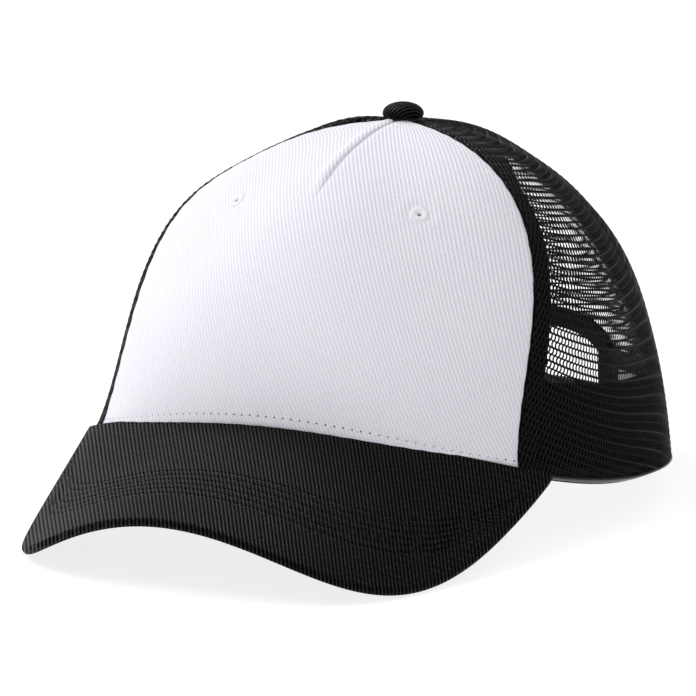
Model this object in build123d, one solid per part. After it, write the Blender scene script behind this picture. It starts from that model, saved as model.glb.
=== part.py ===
"""Trucker mesh cap: a stiff twill front, four mesh panels, a curved visor and a snap closure.

Millimetres. The cap faces -Y, the wearer's left is +X, +Z is up. It is modelled on the crown's
own axis, then tipped so that it rests on its visor corners and its back rim at Z = 0.
Depths are measured inward from the crown's outer surface, along its normal.
"""
from build123d import *
from math import asin, cos, hypot, pi, radians, sin
import os

# ---- crown outline, at four stations: front, 60 and 120 degrees round, back ----
CROWN_HEIGHT = 107.5
RIM_RADIUS = (95.5, 103.7, 90.8, 96.8)
WALL_TUCK = (0.04, 0.15, 0.02, -0.10)       # how far the wall leans in, as a share of the radius
WALL_RISE = (80.0, 27.4, 67.5, 70.8)        # how high the wall runs before it turns over
TOP_SPREAD = (0.25, 0.93, 0.64, 0.80)       # how flat the top is, as a share of the radius
BROW_RISE = 17.3                            # the rim's lift over the visor
BROW_HALF_ANGLE = radians(80)
NAPE_DROP = 9.2                             # the rim's dip at the back
TOP_RING = 5.0                              # radius of the hole that the panels leave for the button

# ---- panels, in degrees round the crown from the front, from the rim to the top ----
FRONT_SEAM = (48.7, 50.0, 69.7, 58.7)
SIDE_SEAM = (104.0, 106.0, 112.0, 119.0)
BACK_SEAM = (180.0, 180.0, 180.0, 180.0)
SEAM_GAP = 0.3

# ---- cloth layers: depth of the outer face and thickness ----
MESH = (0.0, 1.2)
TWILL = (0.0, 0.9)
BACKING = (1.1, 0.7)
TAPE = (2.1, 0.5)
SWEATBAND = (3.5, 1.7)
LABEL = (5.4, 0.4)
BINDING = (-0.7, 2.6)
STRAP = (2.1, 1.1)
TAPE_WIDTH = 13.0
TAPE_MAX_HALF_ANGLE = 0.42
SWEATBAND_HEIGHT = 30.5
SWEATBAND_END = radians(157)

# ---- rear arch and its snap closure ----
ARCH_HALF_WIDTH = 35.3
ARCH_WIDEST_AT = 18.0
ARCH_TOP = 34.5
ARCH_FOOT = 60.0                            # depth below the widest line where the sides would meet
ARCH_ROUNDNESS = 2.7
ARCH_SWEEP = radians(117.3)                 # from the top down to the rim, seen from the widest line
BINDING_WIDTH = 7.0
STRAP_WIDTH = 15.0
STRAP_BOTTOM = 2.0
HINGE_X = 31.3
HINGE_GAP = 0.5
TAB_LENGTH = 12.0
HOLE_STRAP_TIP = -18.0
PEG_STRAP_TIP = 26.0
STRAP_STEP = 1.5                            # how far the peg strap dips behind the hole strap
STEP_FROM, STEP_TO = 30.5, 21.5
PEG_PITCH = 8.0
FIRST_PEG = -20.0
FIRST_HOLE = -12.0
PEG_COUNT = 6
HOLE_COUNT = 5
PEG_RADIUS, PEG_HEAD_RADIUS = 1.35, 1.6
PEG_HEIGHT = 2.5
HOLE_RADIUS = 2.25
TIP_FILLET = 7.0

# ---- visor: its outer edge runs round an angle from one corner to the other ----
VISOR_CORNER = radians(55.3)                # where the visor meets the rim, round the crown
VISOR_LENGTH = 68.0
VISOR_FLARE = (0.349, 0.178)
VISOR_FRONT_POWER = 2.23
VISOR_SHOULDER = 54.2
VISOR_DROOP = (-74.4, 21.4, 46.65)
VISOR_ROOT_GAP = 0.6
VISOR_ROOT_DROP = 1.5                       # sets the visor's upper side level with the hem
VISOR_END = radians(84)
BOARD_THICKNESS = 1.6
VISOR_CLOTH = 0.6
CLOTH_GAP = 0.15
BOARD_INSET = 1.6

# ---- thread, eyelets and button ----
THREAD_WIDTH, THREAD_THICKNESS = 0.6, 0.3
VISOR_ROWS = (0.49, 0.539, 0.588, 0.637, 0.686, 0.735)
HEM_ROW_HEIGHT = 3.6
SEAM_ROW_INSET = 3.0
EYELET_ANGLE, EYELET_UP = radians(32.1), 0.543
EYELET_RADIUS, EYELET_BORE, EYELET_NECK = 3.5, 0.7, 1.2
EYELET_THICKNESS = 0.7
BUTTON_RADIUS, BUTTON_HEIGHT = 7.0, 5.2
SHANK_RADIUS, SHANK_HOLE = 1.5, 1.6
PRONG_PLATE_RADIUS, PRONG_PLATE = 6.0, 0.8

# ---- how the cap rests ----
REST_TILT = 4.2
REST_SHIFT = (0.0, 31.6, 14.85)


def round_crown(values, u):
    """A value given at front, 60, 120 degrees and back, smoothly joined by four cosines."""
    front, early, late, back = values
    ends, middles = (front + back) / 2, (early + late) / 2
    c2 = (ends - middles) / 1.5
    c0 = ends - c2
    c3 = ((front - back) / 2 - (early - late)) / 3
    c1 = (front - back) / 2 - c3
    return c0 + c1 * cos(u) + c2 * cos(2 * u) + c3 * cos(3 * u)


def rim_height(u):
    brow = BROW_RISE * cos(pi * u / (2 * BROW_HALF_ANGLE)) ** 2 if abs(u) < BROW_HALF_ANGLE else 0
    return brow - NAPE_DROP * ((1 - cos(u)) / 2) ** 2


def crown(u, t):
    """Point on the crown's outer surface: u round from the front, t from rim (0) to top (1)."""
    radius, tuck = round_crown(RIM_RADIUS, u), round_crown(WALL_TUCK, u)
    rise, spread = round_crown(WALL_RISE, u), round_crown(TOP_SPREAD, u)
    b0, b1, b2, b3 = (1 - t) ** 3, 3 * (1 - t) ** 2 * t, 3 * (1 - t) * t ** 2, t ** 3
    out = radius * (b0 + b1 * (1 - tuck) + b2 * spread)
    rim = rim_height(u)
    return Vector(out * sin(u), -out * cos(u), b0 * rim + b1 * (rim + rise) + (b2 + b3) * CROWN_HEIGHT)


def offset_point(surface, a, b, height):
    """A point of a surface, moved along its normal."""
    step = 1e-3
    along = surface(a + step, b) - surface(a - step, b)
    across = surface(a, b + step) - surface(a, b - step)
    return surface(a, b) + along.cross(across).normalized() * height


def crown_at(u, t, depth=0.0):
    return offset_point(crown, u, min(t, 0.999), -depth)


def seam_angle(seam, v):
    a, b, c, d = seam
    return radians((1 - v) ** 3 * a + 3 * (1 - v) ** 2 * v * b + 3 * (1 - v) * v ** 2 * c + v ** 3 * d)


def ring_t(u, v):
    """Climb from the rim (0) to the ring round the button (1)."""
    return v * (1 - TOP_RING / (3 * round_crown(TOP_SPREAD, u) * round_crown(RIM_RADIUS, u)))


def radius_at(u, t):
    point = crown(u, t)
    return hypot(point.X, point.Y)


def t_at_height(u, height):
    """The climb t at which the surface stands a given height above the rim."""
    low, high = -0.1, 0.9
    for _ in range(30):
        middle = (low + high) / 2
        if crown(u, middle).Z - rim_height(u) < height:
            low = middle
        else:
            high = middle
    return low


def back_at(x, z, depth):
    """Point on the back of the crown at a given X and a height above the back rim."""
    u = pi - asin(x / RIM_RADIUS[3])
    for _ in range(8):
        t = t_at_height(u, z - NAPE_DROP - rim_height(u))
        u = pi - asin(x / radius_at(u, t))
    return crown_at(u, t, depth)


def sheet(point, rows, columns, thickness, toward):
    """Closed solid from a grid of points: point(0..1, 0..1), thickened towards a direction."""
    grid = [[point(i / (rows - 1), j / (columns - 1)) for j in range(columns)] for i in range(rows)]
    face = Face.make_surface_from_array_of_points(grid, tol=0.005, min_deg=3, max_deg=5)
    return Solid.thicken(face, thickness, normal_override=toward)


def inward(u):
    return Vector(-sin(u), cos(u), -0.6)


def crown_panel(left, right, layer, rows=17, columns=15):
    """A panel between two seams, each given as a function of the climb v."""
    depth, thickness = layer

    def point(v, w):
        angle_left, angle_right = left(v), right(v)
        u = angle_left + (angle_right - angle_left) * w
        return crown_at(u, ring_t(u, v), depth)

    return sheet(point, rows, columns, thickness, inward((left(0.3) + right(0.3)) / 2))


def seam_edge(seam, side, sign=1):
    """The panel's edge along a seam, half a gap away from it."""
    def angle(v):
        middle = seam_angle(seam, v)
        return sign * middle + side * SEAM_GAP / 2 / radius_at(middle, ring_t(middle, v))
    return angle


def seam_band(seam, sign, layer, width, shift=0.0, start=0.0, stop=1.0):
    """A strip along a seam, narrowing to a wedge under the button."""
    depth, thickness = layer

    def point(i, w):
        v = start + (stop - start) * i
        middle = seam_angle(seam, v)
        radius = radius_at(middle, ring_t(middle, v))
        half = width / 2 / hypot(radius, width / 2 / TAPE_MAX_HALF_ANGLE)
        u = sign * middle + shift / radius + half * (2 * w - 1)
        return crown_at(u, ring_t(u, v), depth)

    return sheet(point, 15, 4, thickness, inward(sign * seam_angle(seam, 0.3)))


def rim_band(start, stop, bottom, top, layer, columns=25):
    """A strip round the crown between two heights above the rim."""
    depth, thickness = layer

    def point(w, i):
        u = start + (stop - start) * w
        return crown_at(u, t_at_height(u, bottom + (top - bottom) * i), depth)

    return sheet(point, columns, 5, thickness, inward((start + stop) / 2))


# ---- rear arch ----
def arch_point(s, out=0.0):
    """X and height of the arch's edge, s from -1 to 1 over the top, moved outward by a margin."""
    def edge(k):
        angle = ARCH_SWEEP * k
        tall = ARCH_TOP - ARCH_WIDEST_AT if cos(angle) > 0 else ARCH_FOOT
        share = abs(sin(angle) / ARCH_HALF_WIDTH) ** ARCH_ROUNDNESS + abs(cos(angle) / tall) ** ARCH_ROUNDNESS
        reach = share ** (-1 / ARCH_ROUNDNESS)
        return reach * sin(angle), ARCH_WIDEST_AT + reach * cos(angle)

    (x, z), (x0, z0), (x1, z1) = edge(s), edge(s - 1e-3), edge(s + 1e-3)
    length = hypot(x1 - x0, z1 - z0)
    return x - (z1 - z0) / length * out, z + (x1 - x0) / length * out


def arch_cut(margin):
    """Prism that removes the arch and a margin round it from the back of the crown."""
    outline = [arch_point(-1 + 2 * i / 40, margin) for i in range(41)]
    points = [(x, z - NAPE_DROP) for x, z in outline]
    x_end = points[-1][0]
    points = [(-x_end, -40)] + points + [(x_end, -40), (-x_end, -40)]
    profile = make_face(Plane.XZ * Polyline(*points))
    return Pos(0, 130, 0) * extrude(profile, 90, dir=(0, -1, 0))


def even_places(count, end, out):
    """Places from -end to end, evenly spaced by length along the arch's edge moved outward."""
    fine = [end * (2 * i / 400 - 1) for i in range(401)]
    travel = [0.0]
    for k, after in zip(fine, fine[1:]):
        (x0, z0), (x1, z1) = arch_point(k, out), arch_point(after, out)
        travel.append(travel[-1] + hypot(x1 - x0, z1 - z0))
    places = []
    for i in range(count):
        want = travel[-1] * i / (count - 1)
        j = min(sum(1 for t in travel[1:-1] if t <= want), 399)
        share = (want - travel[j]) / (travel[j + 1] - travel[j])
        places.append(fine[j] + (fine[j + 1] - fine[j]) * share)
    return places


def arch_binding():
    """Tape folded over the arch's edge, from one side of the rim to the other."""
    depth, thickness = BINDING
    places = even_places(61, 0.975, BINDING_WIDTH / 2)

    def point(s, w):
        x, z = arch_point(places[round(s * 60)], 0.2 + BINDING_WIDTH * w)
        return back_at(x, z, depth)

    return sheet(point, 61, 5, thickness, inward(pi))


# ---- snap closure ----
def strap_depth(x, dips):
    if not dips:
        return STRAP[0]
    k = min(max((STEP_FROM - abs(x)) / (STEP_FROM - STEP_TO), 0), 1)
    return STRAP[0] + STRAP_STEP * (k * k * (3 - 2 * k) if x < 0 else 1)


def strap_strip(x_from, x_to, dips=False, columns=21):
    def point(i, w):
        x = x_from + (x_to - x_from) * i
        return back_at(x, STRAP_BOTTOM + STRAP_WIDTH * w, strap_depth(x, dips))
    return sheet(point, columns, 4, STRAP[1], inward(pi))


def strap_frame(x, depth):
    """A plane on a strap's outer face, its Z pointing outward."""
    middle = STRAP_BOTTOM + STRAP_WIDTH / 2
    here, out = back_at(x, middle, depth), back_at(x, middle, depth - 1)
    return Plane(origin=here, z_dir=out - here)


def rounded_tip(strap, x_tip, x_root):
    """Rounds the two corners of a strap's free end."""
    middle = STRAP_BOTTOM + STRAP_WIDTH / 2 - NAPE_DROP
    blank = Rectangle(abs(x_root - x_tip) + 8, STRAP_WIDTH + 0.5)
    side = 1 if x_tip > x_root else -1
    corners = blank.vertices().sort_by(Axis.X)
    blank = fillet(corners[-2:] if side > 0 else corners[:2], TIP_FILLET)
    centre = x_tip - side * (abs(x_root - x_tip) + 8) / 2
    prism = extrude(Plane.XZ * Pos(centre, middle, 0) * blank, 60)
    return strap & Pos(0, 130, 0) * prism


def hole_strap():
    strap = rounded_tip(strap_strip(HINGE_X - HINGE_GAP, HOLE_STRAP_TIP), HOLE_STRAP_TIP, HINGE_X)
    for i in range(HOLE_COUNT):
        plane = strap_frame(FIRST_HOLE + PEG_PITCH * i, STRAP[0])
        strap -= plane * Cylinder(HOLE_RADIUS, 8)
    return strap


def peg_strap():
    strap = rounded_tip(strap_strip(-HINGE_X + HINGE_GAP, PEG_STRAP_TIP, True), PEG_STRAP_TIP, -HINGE_X)
    upright = (Align.CENTER, Align.CENTER, Align.MIN)
    for i in range(PEG_COUNT):
        x = FIRST_PEG + PEG_PITCH * i
        plane = strap_frame(x, strap_depth(x, True) + 0.4)
        strap += plane * Cylinder(PEG_RADIUS, PEG_HEIGHT + 0.4, align=upright)
        strap += plane * Pos(0, 0, PEG_HEIGHT - 0.6) * Cylinder(PEG_HEAD_RADIUS, 1.0, align=upright)
    return strap


def hinge_line(side):
    """Bottom and top of the line that a strap bends about."""
    depth = STRAP[0] + STRAP[1] / 2
    return [back_at(side * HINGE_X, STRAP_BOTTOM + k * STRAP_WIDTH, depth) for k in (0, 1)]


# ---- visor ----
def visor_root(angle):
    root = crown_at(VISOR_CORNER * sin(angle), 0.0, -VISOR_ROOT_GAP)
    return root - Vector(0, 0, VISOR_ROOT_DROP * cos(angle) ** 2)


def visor_edge(angle):
    corner = crown_at(VISOR_CORNER, 0.0, -VISOR_ROOT_GAP)
    k = cos(angle) ** 2
    reach = RIM_RADIUS[0] + VISOR_LENGTH + corner.Y
    x = corner.X * sin(angle) * (1 + VISOR_FLARE[0] * k + VISOR_FLARE[1] * k * k)
    y = corner.Y - reach * k ** (VISOR_FRONT_POWER / 2) - VISOR_SHOULDER * k * (1 - k)
    z = corner.Z + VISOR_DROOP[0] * k + VISOR_DROOP[1] * k ** 2 + VISOR_DROOP[2] * k ** 3
    return Vector(x, y, z)


def visor(out, angle):
    """Middle surface of the visor: out from root (0) to edge (1), angle from corner to corner."""
    return visor_root(angle) * (1 - out) + visor_edge(angle) * out


def visor_sheet(height, thickness, inset, toward):
    def point(i, w):
        angle = VISOR_END * (2 * i - 1)
        length = (visor_edge(angle) - visor_root(angle)).length
        margin = min(inset / length, 0.3)
        return offset_point(visor, margin / 3 + (1 - margin * 4 / 3) * w, angle, height)
    return sheet(point, 41, 9, thickness, toward)


def visor_thread(out, height):
    def point(i, w):
        angle = radians(66) * (2 * i - 1)
        length = (visor_edge(angle) - visor_root(angle)).length
        return offset_point(visor, out + THREAD_WIDTH * (w - 0.5) / length, angle, height)
    return sheet(point, 31, 4, THREAD_THICKNESS, Vector(0, 0, 1))


# ---- eyelets and button ----
def eyelet_plane(side, depth=0.0):
    here = crown_at(side * EYELET_ANGLE, EYELET_UP, depth)
    return Plane(origin=here, z_dir=crown_at(side * EYELET_ANGLE, EYELET_UP, depth - 1) - here)


def eyelet(side):
    """Embroidered ring that lines an air hole in the front."""
    flange = Pos(0, 0, 0.15 + EYELET_THICKNESS / 2) * Cylinder(EYELET_RADIUS, EYELET_THICKNESS)
    flange = fillet(flange.edges().group_by(Axis.Z)[-1], EYELET_THICKNESS * 0.7)
    neck = Pos(0, 0, -0.85) * Cylinder(EYELET_NECK, 2.2)
    return eyelet_plane(side) * (flange + neck - Cylinder(EYELET_BORE, 8))


def button_cap():
    """Cloth-covered dome, hollowed for the prong's shank."""
    radius = (BUTTON_RADIUS ** 2 + BUTTON_HEIGHT ** 2) / (2 * BUTTON_HEIGHT)
    dome = Pos(0, 0, BUTTON_HEIGHT - radius) * Sphere(radius)
    dome &= Pos(0, 0, BUTTON_HEIGHT / 2) * Cylinder(BUTTON_RADIUS - 0.15, BUTTON_HEIGHT)
    dome -= Pos(0, 0, 1.4) * Cylinder(SHANK_HOLE, 2.8)
    return Pos(0, 0, CROWN_HEIGHT + 0.3) * dome


def button_prong():
    """Plate inside the crown with the shank that grips the button."""
    plate = Pos(0, 0, -4.2) * Cylinder(PRONG_PLATE_RADIUS, PRONG_PLATE)
    shank = Pos(0, 0, -0.9) * Cylinder(SHANK_RADIUS, 6.6)
    return Pos(0, 0, CROWN_HEIGHT) * (plate + shank)


def build_parts():
    parts = {}
    front_left, front_right = seam_edge(FRONT_SEAM, -1), seam_edge(FRONT_SEAM, 1, -1)
    holes = [eyelet_plane(side) * Cylinder(EYELET_NECK + 0.1, 10) for side in (1, -1)]
    for name, layer in (("front_panel", TWILL), ("front_panel_backing", BACKING)):
        panel = crown_panel(front_right, front_left, layer, columns=21)
        parts[name] = panel - holes[0] - holes[1]

    notch = arch_cut(BINDING_WIDTH + 0.5)
    for side, word in ((1, "left"), (-1, "right")):
        outer = seam_edge(FRONT_SEAM, side, side), seam_edge(SIDE_SEAM, -side, side)
        inner = seam_edge(SIDE_SEAM, side, side), seam_edge(BACK_SEAM, -side, side)
        parts[f"side_mesh_{word}"] = crown_panel(*outer, MESH)
        parts[f"back_mesh_{word}"] = crown_panel(*inner, MESH) - notch
        parts[f"front_seam_tape_{word}"] = seam_band(FRONT_SEAM, side, TAPE, TAPE_WIDTH)
        parts[f"side_seam_tape_{word}"] = seam_band(SIDE_SEAM, side, TAPE, TAPE_WIDTH)
        parts[f"front_seam_stitching_{word}"] = seam_band(
            FRONT_SEAM, side, (-0.35, THREAD_THICKNESS), THREAD_WIDTH, -side * SEAM_ROW_INSET, 0.05, 0.9)
        parts[f"eyelet_{word}"] = eyelet(side)
    parts["back_seam_tape"] = seam_band(BACK_SEAM, 1, TAPE, TAPE_WIDTH) - notch
    parts["arch_binding"] = arch_binding()
    parts["sweatband"] = rim_band(-SWEATBAND_END, SWEATBAND_END, 0.3, SWEATBAND_HEIGHT, SWEATBAND, 61)
    parts["blank_label"] = rim_band(radians(128), radians(147), 8, 24, LABEL, 7)
    brow = seam_angle(FRONT_SEAM, 0) - radians(3)
    parts["front_hem_stitching"] = rim_band(
        -brow, brow, HEM_ROW_HEIGHT, HEM_ROW_HEIGHT + THREAD_WIDTH, (-0.35, THREAD_THICKNESS), 31)

    half = BOARD_THICKNESS / 2
    parts["visor_board"] = visor_sheet(half, BOARD_THICKNESS, BOARD_INSET, Vector(0, 0, -1))
    parts["visor_top_cloth"] = visor_sheet(half + CLOTH_GAP, VISOR_CLOTH, 0.1, Vector(0, 0, 1))
    parts["visor_bottom_cloth"] = visor_sheet(-half - CLOTH_GAP, VISOR_CLOTH, 0.1, Vector(0, 0, -1))
    top = half + CLOTH_GAP + VISOR_CLOTH + 0.05
    parts["visor_stitching"] = Compound(children=[visor_thread(out, top) for out in VISOR_ROWS])

    parts["hole_strap"] = hole_strap()
    parts["peg_strap"] = peg_strap()
    parts["hole_strap_tab"] = strap_strip(HINGE_X + HINGE_GAP, HINGE_X + TAB_LENGTH, columns=6)
    parts["peg_strap_tab"] = strap_strip(-HINGE_X - HINGE_GAP, -HINGE_X - TAB_LENGTH, columns=6)
    parts["button_cap"] = button_cap()
    parts["button_prong"] = button_prong()
    return parts


def main():
    os.makedirs("parts", exist_ok=True)
    rest = Pos(*REST_SHIFT) * Rot(-REST_TILT, 0, 0)
    placed = {name: rest * part for name, part in build_parts().items()}
    for name, part in placed.items():
        export_step(part, f"parts/{name}.step")
    for name, part in placed.items():
        print(name, "lowest", round(part.bounding_box(optimal=True).min.Z, 2))
    box = Compound(children=list(placed.values())).bounding_box(optimal=True)
    print("box", box.min, box.max)
    for side, word in ((1, "hole_strap"), (-1, "peg_strap")):
        low, high = [(rest * Pos(*point)).position for point in hinge_line(side)]
        print(word, "hinge", low, "axis", (high - low).normalized())


main()
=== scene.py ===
"""Looks of a trucker mesh cap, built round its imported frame. Shapes are worked out in millimetres
on the crown's own axis, then tipped into the resting frame in metres."""
import math

import bpy
import numpy as np
from mathutils import Matrix, Vector


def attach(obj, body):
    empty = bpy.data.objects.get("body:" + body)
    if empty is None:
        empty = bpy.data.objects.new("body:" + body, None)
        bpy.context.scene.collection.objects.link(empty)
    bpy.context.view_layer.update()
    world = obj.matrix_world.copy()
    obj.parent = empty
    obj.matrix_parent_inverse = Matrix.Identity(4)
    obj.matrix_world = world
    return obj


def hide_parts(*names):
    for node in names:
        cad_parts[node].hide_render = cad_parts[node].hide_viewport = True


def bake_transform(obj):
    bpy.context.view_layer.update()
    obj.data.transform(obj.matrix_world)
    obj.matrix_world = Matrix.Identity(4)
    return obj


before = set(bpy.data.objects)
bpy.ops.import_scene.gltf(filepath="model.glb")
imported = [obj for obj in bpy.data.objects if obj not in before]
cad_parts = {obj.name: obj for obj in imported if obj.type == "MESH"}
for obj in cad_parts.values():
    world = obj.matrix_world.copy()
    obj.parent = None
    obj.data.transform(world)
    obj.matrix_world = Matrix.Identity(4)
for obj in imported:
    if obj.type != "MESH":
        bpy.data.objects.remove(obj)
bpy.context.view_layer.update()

MM = 0.001
SIDES = ((1, "left"), (-1, "right"))

# ---- crown outline at four stations: front, 60 and 120 degrees round, back ----
CROWN_HEIGHT = 107.5
RIM_RADIUS = (95.5, 103.7, 90.8, 96.8)
WALL_TUCK = (0.04, 0.15, 0.02, -0.10)
WALL_RISE = (80.0, 27.4, 67.5, 70.8)
TOP_SPREAD = (0.25, 0.93, 0.64, 0.80)
BROW_RISE = 17.3
BROW_HALF_ANGLE = math.radians(80)
NAPE_DROP = 9.2
TOP_RING = 5.0
REST_TILT = math.radians(4.2)
REST_SHIFT = (0.0, 31.6, 14.85)

# ---- seams, in degrees round the crown from the front, from the rim to the top ----
FRONT_SEAM = (48.7, 50.0, 69.7, 58.7)
SIDE_SEAM = (104.0, 106.0, 112.0, 119.0)
BACK_SEAM = (180.0, 180.0, 180.0, 180.0)
SEAM_GAP = 0.3

# ---- rear arch ----
ARCH_HALF_WIDTH, ARCH_WIDEST_AT, ARCH_TOP, ARCH_FOOT = 35.3, 18.0, 34.5, 60.0
ARCH_ROUNDNESS, ARCH_SWEEP = 2.7, math.radians(117.3)
BINDING_WIDTH = 7.0
HINGE_X, STRAP_BOTTOM, STRAP_WIDTH = 31.3, 2.0, 15.0
STRAP_DEPTH, STRAP_THICKNESS = 2.1, 1.1

# ---- visor ----
VISOR_CORNER = math.radians(55.3)
VISOR_LENGTH = 68.0
VISOR_FLARE = (0.349, 0.178)
VISOR_FRONT_POWER = 2.23
VISOR_SHOULDER = 54.2
VISOR_DROOP = (-74.4, 21.4, 46.65)
VISOR_ROOT_GAP, VISOR_ROOT_DROP = 0.6, 1.5
VISOR_HALF_THICKNESS = 1.55
VISOR_SPAN, VISOR_PACKING = np.radians(84), 0.72
CLOTH = 0.5
VISOR_ROWS = (0.49, 0.539, 0.588, 0.637, 0.686, 0.735)
ROW_HALF_ANGLE = math.radians(64)

# ---- cloth and thread ----
PANEL_LEAN, VISOR_LEAN = math.radians(62), math.radians(-56)
NET_CELL, NET_ROW = 1.3, 2.6
NET_DEPTH, NET_YARN, NET_FLATNESS, NET_HEM = 0.6, 0.31, 0.6, 0.5
SIDE_SLANT, BACK_SLANT = math.radians(14), math.radians(4)
SWEATBAND_HEIGHT = 30.5
TAPE_WIDTH, TAPE_MAX_HALF_ANGLE = 15.0, 0.42
STITCH_PITCH, STITCH_LENGTH, THREAD_RADIUS = 3.0, 2.3, 0.17
HEM_ROW, EDGE_ROW = 3.6, 3.0
BINDING_ROW = 5.6
BAND_END, NET_END = math.radians(157), math.radians(154.6)
EYELET_ANGLE, EYELET_UP = math.radians(32.1), 0.543


# ======== shape of the cap ========
def round_crown(values, u):
    """A value given at front, 60, 120 degrees and back, smoothly joined by four cosines."""
    front, early, late, back = values
    ends, middles = (front + back) / 2, (early + late) / 2
    c2 = (ends - middles) / 1.5
    c0 = ends - c2
    c3 = ((front - back) / 2 - (early - late)) / 3
    c1 = (front - back) / 2 - c3
    return c0 + c1 * np.cos(u) + c2 * np.cos(2 * u) + c3 * np.cos(3 * u)


def rim_height(u):
    brow = BROW_RISE * np.cos(np.pi * u / (2 * BROW_HALF_ANGLE)) ** 2
    return np.where(np.abs(u) < BROW_HALF_ANGLE, brow, 0) - NAPE_DROP * ((1 - np.cos(u)) / 2) ** 2


def crown(u, t):
    """Outer surface of the crown: u round from the front, t from rim (0) to top (1)."""
    radius, tuck = round_crown(RIM_RADIUS, u), round_crown(WALL_TUCK, u)
    rise, spread = round_crown(WALL_RISE, u), round_crown(TOP_SPREAD, u)
    b0, b1, b2, b3 = (1 - t) ** 3, 3 * (1 - t) ** 2 * t, 3 * (1 - t) * t ** 2, t ** 3
    out = radius * (b0 + b1 * (1 - tuck) + b2 * spread)
    rim = rim_height(u)
    z = b0 * rim + b1 * (rim + rise) + (b2 + b3) * CROWN_HEIGHT
    return np.stack([out * np.sin(u), -out * np.cos(u), z], -1)


def unit(vectors):
    """Vectors at length 1."""
    return vectors / np.maximum(np.linalg.norm(vectors, axis=-1, keepdims=True), 1e-12)


def normal_of(surface, a, b, step=1e-3):
    along = surface(a + step, b) - surface(a - step, b)
    across = surface(a, b + step) - surface(a, b - step)
    return unit(np.cross(along, across))


def soft_bump(u, t, u0, t0, wide, tall):
    """A rise of 1 at one place on the crown that fades to nothing round it."""
    return np.exp(-(((u - u0) / wide) ** 2) - ((t - t0) / tall) ** 2)


def give(u, t):
    """How far the soft crown stands out of or sinks below its ideal shape, from wear and sewing."""
    side = np.abs(u)
    seam = seam_angle(SIDE_SEAM, t)
    free = np.clip((side - np.radians(66)) / 0.25, 0, 1)
    free = free * np.clip(t / 0.25, 0, 1) * np.clip((1 - t) / 0.12, 0, 1)
    dent = -0.9 * np.exp(-(((side - seam) / 0.11) ** 2)) * np.clip((t - 0.4) / 0.2, 0, 1)
    ripple = 0.35 * np.sin(9 * u + 5 * t) * np.sin(7 * t + 2 * side)
    behind = np.clip((side - np.radians(FRONT_SEAM[0] + 14 * t)) / 0.12, 0, 1) * (u < 0)
    hump = 1.6 * soft_bump(u, t, -1.5, 0.935, 0.5, 0.05)
    flank = soft_bump(u, t, -1.24, 0.6, 0.26, 0.6) * np.clip(t / 0.4, 0, 1) * np.clip((1 - t) / 0.08, 0, 1)
    sunk = -3.4 * soft_bump(u, t, -1.3, 0.77, 0.38, 0.13)
    sunk = sunk - 2.7 * soft_bump(u, t, 2.35, 0.68, 0.45, 0.2)
    return free * (dent + ripple) + behind * (hump + flank) + sunk


def crown_at(u, t, depth=0.0):
    """The crown as worn, at a depth inside its outer surface."""
    u, t = np.broadcast_arrays(np.asarray(u, float), np.clip(np.asarray(t, float), -0.1, 0.999))
    lift = np.asarray(give(u, t) - depth)[..., None]
    return crown(u, t) + normal_of(crown, u, t) * lift


def seam_angle(seam, v):
    """Angle of a seam at a climb from rim (0) to top (1)."""
    a, b, c, d = seam
    return np.radians((1 - v) ** 3 * a + 3 * (1 - v) ** 2 * v * b + 3 * (1 - v) * v ** 2 * c + v ** 3 * d)


def ring_t(u, v):
    """Climb from the rim (0) to the ring round the button (1)."""
    return v * (1 - TOP_RING / (3 * round_crown(TOP_SPREAD, u) * round_crown(RIM_RADIUS, u)))


def radius_at(u, t):
    point = crown(u, t)
    return np.hypot(point[..., 0], point[..., 1])


def t_at_height(u, height):
    """Where on the wall the crown reaches a height above the rim."""
    u, height = np.broadcast_arrays(np.asarray(u, float), np.asarray(height, float))
    low, high = np.full(u.shape, -0.1), np.full(u.shape, 0.9)
    for _ in range(30):
        middle = (low + high) / 2
        below = crown(u, middle)[..., 2] - rim_height(u) < height
        low, high = np.where(below, middle, low), np.where(below, high, middle)
    return low


def back_at(x, z, depth):
    """Point on the back of the crown at a given X and a height above the back rim."""
    u = np.pi - np.arcsin(x / RIM_RADIUS[3])
    for _ in range(8):
        t = t_at_height(u, z - NAPE_DROP - rim_height(u))
        u = np.pi - np.arcsin(np.clip(x / radius_at(u, t), -1, 1))
    return crown_at(u, t, depth)


def arch_point(s, out=0.0):
    """X and height of the arch's edge, s from -1 to 1 over the top, moved outward by a margin."""
    def edge(k):
        angle = ARCH_SWEEP * k
        tall = np.where(np.cos(angle) > 0, ARCH_TOP - ARCH_WIDEST_AT, ARCH_FOOT)
        share = np.abs(np.sin(angle) / ARCH_HALF_WIDTH) ** ARCH_ROUNDNESS
        share = share + np.abs(np.cos(angle) / tall) ** ARCH_ROUNDNESS
        reach = share ** (-1 / ARCH_ROUNDNESS)
        return reach * np.sin(angle), ARCH_WIDEST_AT + reach * np.cos(angle)

    (x, z), (x0, z0), (x1, z1) = edge(s), edge(s - 1e-3), edge(s + 1e-3)
    length = np.hypot(x1 - x0, z1 - z0)
    return x - (z1 - z0) / length * out, z + (x1 - x0) / length * out


def visor_root(angle):
    u = VISOR_CORNER * np.sin(angle)
    root = crown_at(u, np.zeros_like(u), -VISOR_ROOT_GAP)
    root[..., 2] -= VISOR_ROOT_DROP * np.cos(angle) ** 2
    return root


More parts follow.
